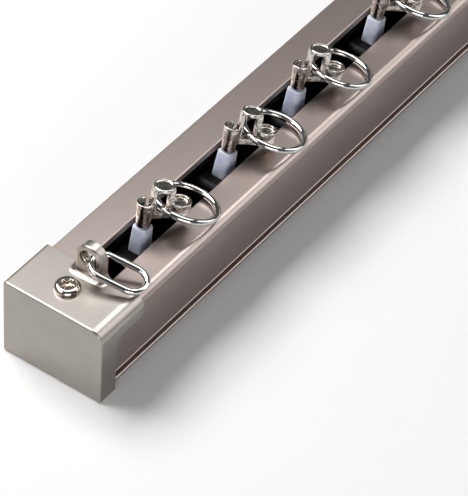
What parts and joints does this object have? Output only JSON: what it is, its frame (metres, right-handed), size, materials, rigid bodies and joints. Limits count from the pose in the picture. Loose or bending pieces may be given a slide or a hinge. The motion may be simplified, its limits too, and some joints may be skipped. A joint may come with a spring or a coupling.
{
  "type": "curtain track",
  "caption": "Slotted aluminium curtain track with die-cast end caps and wheeled runners whose swivelling hooks each carry a wire ring.",
  "frame": {"origin": "middle of the track's length, centred between its sides, level with the bottoms of the end caps", "axes": "+X along the track, +Y towards the square-cornered side, +Z out of the slot"},
  "size_m": [0.2, 0.0271, 0.0322],
  "materials": {
    "anodised_aluminium": "satin champagne anodised",
    "satin_nickel_casting": "satin nickel plated zinc die casting",
    "nickel_screw": "bright nickel plated",
    "nickel_casting": "bright nickel plated casting, slightly rough",
    "polished_wire": "polished steel wire",
    "zinc_plated_steel": "zinc plated, satin",
    "natural_nylon": "translucent natural nylon, satin",
    "black_acetal": "black acetal, satin"
  },
  "bodies": {
    "rail": {"track": "anodised_aluminium", "end_cap_near": "satin_nickel_casting", "end_cap_far": "satin_nickel_casting", "cap_screw_near": "nickel_screw", "cap_screw_far": "nickel_screw", "clamp_nut_near": "zinc_plated_steel", "clamp_nut_far": "zinc_plated_steel"},
    "cap_loop_near": {"cap_ring_near": "polished_wire"},
    "cap_loop_far": {"cap_ring_far": "polished_wire"},
    "runner_1_body": {"runner_1_carriage": "black_acetal", "runner_1_axle": "zinc_plated_steel", "runner_1_neck": "natural_nylon", "runner_1_pin": "zinc_plated_steel"},
    "runner_1_front_wheel": {"runner_1_wheel_front": "black_acetal"},
    "runner_1_rear_wheel": {"runner_1_wheel_rear": "black_acetal"},
    "runner_1_swivel": {"runner_1_hook": "nickel_casting"},
    "runner_1_loop": {"runner_1_ring": "polished_wire"},
    "runner_2_body": {"runner_2_carriage": "black_acetal", "runner_2_axle": "zinc_plated_steel", "runner_2_neck": "natural_nylon", "runner_2_pin": "zinc_plated_steel"},
    "runner_2_front_wheel": {"runner_2_wheel_front": "black_acetal"},
    "runner_2_rear_wheel": {"runner_2_wheel_rear": "black_acetal"},
    "runner_2_swivel": {"runner_2_hook": "nickel_casting"},
    "runner_2_loop": {"runner_2_ring": "polished_wire"},
    "runner_3_body": {"runner_3_carriage": "black_acetal", "runner_3_axle": "zinc_plated_steel", "runner_3_neck": "natural_nylon", "runner_3_pin": "zinc_plated_steel"},
    "runner_3_front_wheel": {"runner_3_wheel_front": "black_acetal"},
    "runner_3_rear_wheel": {"runner_3_wheel_rear": "black_acetal"},
    "runner_3_swivel": {"runner_3_hook": "nickel_casting"},
    "runner_3_loop": {"runner_3_ring": "polished_wire"},
    "runner_4_body": {"runner_4_carriage": "black_acetal", "runner_4_axle": "zinc_plated_steel", "runner_4_neck": "natural_nylon", "runner_4_pin": "zinc_plated_steel"},
    "runner_4_front_wheel": {"runner_4_wheel_front": "black_acetal"},
    "runner_4_rear_wheel": {"runner_4_wheel_rear": "black_acetal"},
    "runner_4_swivel": {"runner_4_hook": "nickel_casting"},
    "runner_4_loop": {"runner_4_ring": "polished_wire"},
    "runner_5_body": {"runner_5_carriage": "black_acetal", "runner_5_axle": "zinc_plated_steel", "runner_5_neck": "natural_nylon", "runner_5_pin": "zinc_plated_steel"},
    "runner_5_front_wheel": {"runner_5_wheel_front": "black_acetal"},
    "runner_5_rear_wheel": {"runner_5_wheel_rear": "black_acetal"},
    "runner_5_swivel": {"runner_5_hook": "nickel_casting"},
    "runner_5_loop": {"runner_5_ring": "polished_wire"}
  },
  "joints": [
    {"name": "cap_ring_near_swing", "type": "hinge", "parent": "rail", "child": "cap_loop_near", "pos_m": [-0.0861, 0, 0.025], "axis": [-0.9703, -0.2419, 0], "range_deg": [0, 150]},
    {"name": "cap_ring_far_swing", "type": "hinge", "parent": "rail", "child": "cap_loop_far", "pos_m": [0.0861, 0, 0.025], "axis": [-0.9703, 0.2419, 0], "range_deg": [0, 150]},
    {"name": "runner_1_slide", "type": "slide", "parent": "rail", "child": "runner_1_body", "axis": [1, 0, 0], "range_m": [-0.007, 0.011]},
    {"name": "runner_1_front_wheel_spin", "type": "hinge", "parent": "runner_1_body", "child": "runner_1_front_wheel", "pos_m": [-0.06928, 0, 0.0095], "axis": [0, 1, 0], "continuous": true},
    {"name": "runner_1_rear_wheel_spin", "type": "hinge", "parent": "runner_1_body", "child": "runner_1_rear_wheel", "pos_m": [-0.06928, 0, 0.0095], "axis": [0, 1, 0], "continuous": true},
    {"name": "runner_1_hook_swivel", "type": "hinge", "parent": "runner_1_body", "child": "runner_1_swivel", "pos_m": [-0.06756, 0, 0.02178], "axis": [0.1392, 0, 0.9903], "range_deg": [-40, 70]},
    {"name": "runner_1_ring_swing", "type": "hinge", "parent": "runner_1_swivel", "child": "runner_1_loop", "pos_m": [-0.06406, -0.00217, 0.02603], "axis": [-0.342, -0.9397, 0], "range_deg": [0, 150]},
    {"name": "runner_2_slide", "type": "slide", "parent": "rail", "child": "runner_2_body", "axis": [1, 0, 0], "range_m": [-0.011, 0.007]},
    {"name": "runner_2_front_wheel_spin", "type": "hinge", "parent": "runner_2_body", "child": "runner_2_front_wheel", "pos_m": [-0.03843, 0, 0.0095], "axis": [0, 1, 0], "continuous": true},
    {"name": "runner_2_rear_wheel_spin", "type": "hinge", "parent": "runner_2_body", "child": "runner_2_rear_wheel", "pos_m": [-0.03843, 0, 0.0095], "axis": [0, 1, 0], "continuous": true},
    {"name": "runner_2_hook_swivel", "type": "hinge", "parent": "runner_2_body", "child": "runner_2_swivel", "pos_m": [-0.03543, 0, 0.02153], "axis": [0.2419, 0, 0.9703], "range_deg": [-40, 10]},
    {"name": "runner_2_ring_swing", "type": "hinge", "parent": "runner_2_swivel", "child": "runner_2_loop", "pos_m": [-0.03178, -0.0025, 0.02547], "axis": [-0.454, -0.891, 0], "range_deg": [0, 150]},
    {"name": "runner_3_slide", "type": "slide", "parent": "rail", "child": "runner_3_body", "axis": [1, 0, 0], "range_m": [-0.007, 0.013]},
    {"name": "runner_3_front_wheel_spin", "type": "hinge", "parent": "runner_3_body", "child": "runner_3_front_wheel", "pos_m": [-0.01041, 0, 0.0095], "axis": [0, 1, 0], "continuous": true},
    {"name": "runner_3_rear_wheel_spin", "type": "hinge", "parent": "runner_3_body", "child": "runner_3_rear_wheel", "pos_m": [-0.01041, 0, 0.0095], "axis": [0, 1, 0], "continuous": true},
    {"name": "runner_3_hook_swivel", "type": "hinge", "parent": "runner_3_body", "child": "runner_3_swivel", "pos_m": [-0.00804, 0, 0.02167], "axis": [0.1908, 0, 0.9816], "range_deg": [-40, 10]},
    {"name": "runner_3_ring_swing", "type": "hinge", "parent": "runner_3_swivel", "child": "runner_3_loop", "pos_m": [-0.00448, -0.00236, 0.02577], "axis": [-0.4067, -0.9135, 0], "range_deg": [0, 150]},
    {"name": "runner_4_slide", "type": "slide", "parent": "rail", "child": "runner_4_body", "axis": [1, 0, 0], "range_m": [-0.013, 0.011]},
    {"name": "runner_4_front_wheel_spin", "type": "hinge", "parent": "runner_4_body", "child": "runner_4_front_wheel", "pos_m": [0.02268, 0, 0.0095], "axis": [0, 1, 0], "continuous": true},
    {"name": "runner_4_rear_wheel_spin", "type": "hinge", "parent": "runner_4_body", "child": "runner_4_rear_wheel", "pos_m": [0.02268, 0, 0.0095], "axis": [0, 1, 0], "continuous": true},
    {"name": "runner_4_hook_swivel", "type": "hinge", "parent": "runner_4_body", "child": "runner_4_swivel", "pos_m": [0.02526, 0, 0.02163], "axis": [0.2079, 0, 0.9781], "range_deg": [-40, 10]},
    {"name": "runner_4_ring_swing", "type": "hinge", "parent": "runner_4_swivel", "child": "runner_4_loop", "pos_m": [0.02877, -0.0025, 0.02569], "axis": [-0.454, -0.891, 0], "range_deg": [0, 150]},
    {"name": "runner_5_slide", "type": "slide", "parent": "rail", "child": "runner_5_body", "axis": [1, 0, 0], "range_m": [-0.011, 0.005]},
    {"name": "runner_5_front_wheel_spin", "type": "hinge", "parent": "runner_5_body", "child": "runner_5_front_wheel", "pos_m": [0.05482, 0, 0.0095], "axis": [0, 1, 0], "continuous": true},
    {"name": "runner_5_rear_wheel_spin", "type": "hinge", "parent": "runner_5_body", "child": "runner_5_rear_wheel", "pos_m": [0.05482, 0, 0.0095], "axis": [0, 1, 0], "continuous": true},
    {"name": "runner_5_hook_swivel", "type": "hinge", "parent": "runner_5_body", "child": "runner_5_swivel", "pos_m": [0.05654, 0, 0.02178], "axis": [0.1392, 0, 0.9903], "range_deg": [-40, 70]},
    {"name": "runner_5_ring_swing", "type": "hinge", "parent": "runner_5_swivel", "child": "runner_5_loop", "pos_m": [0.0598, -0.00246, 0.02607], "axis": [-0.4384, -0.8988, 0], "range_deg": [0, 150]}
  ]
}
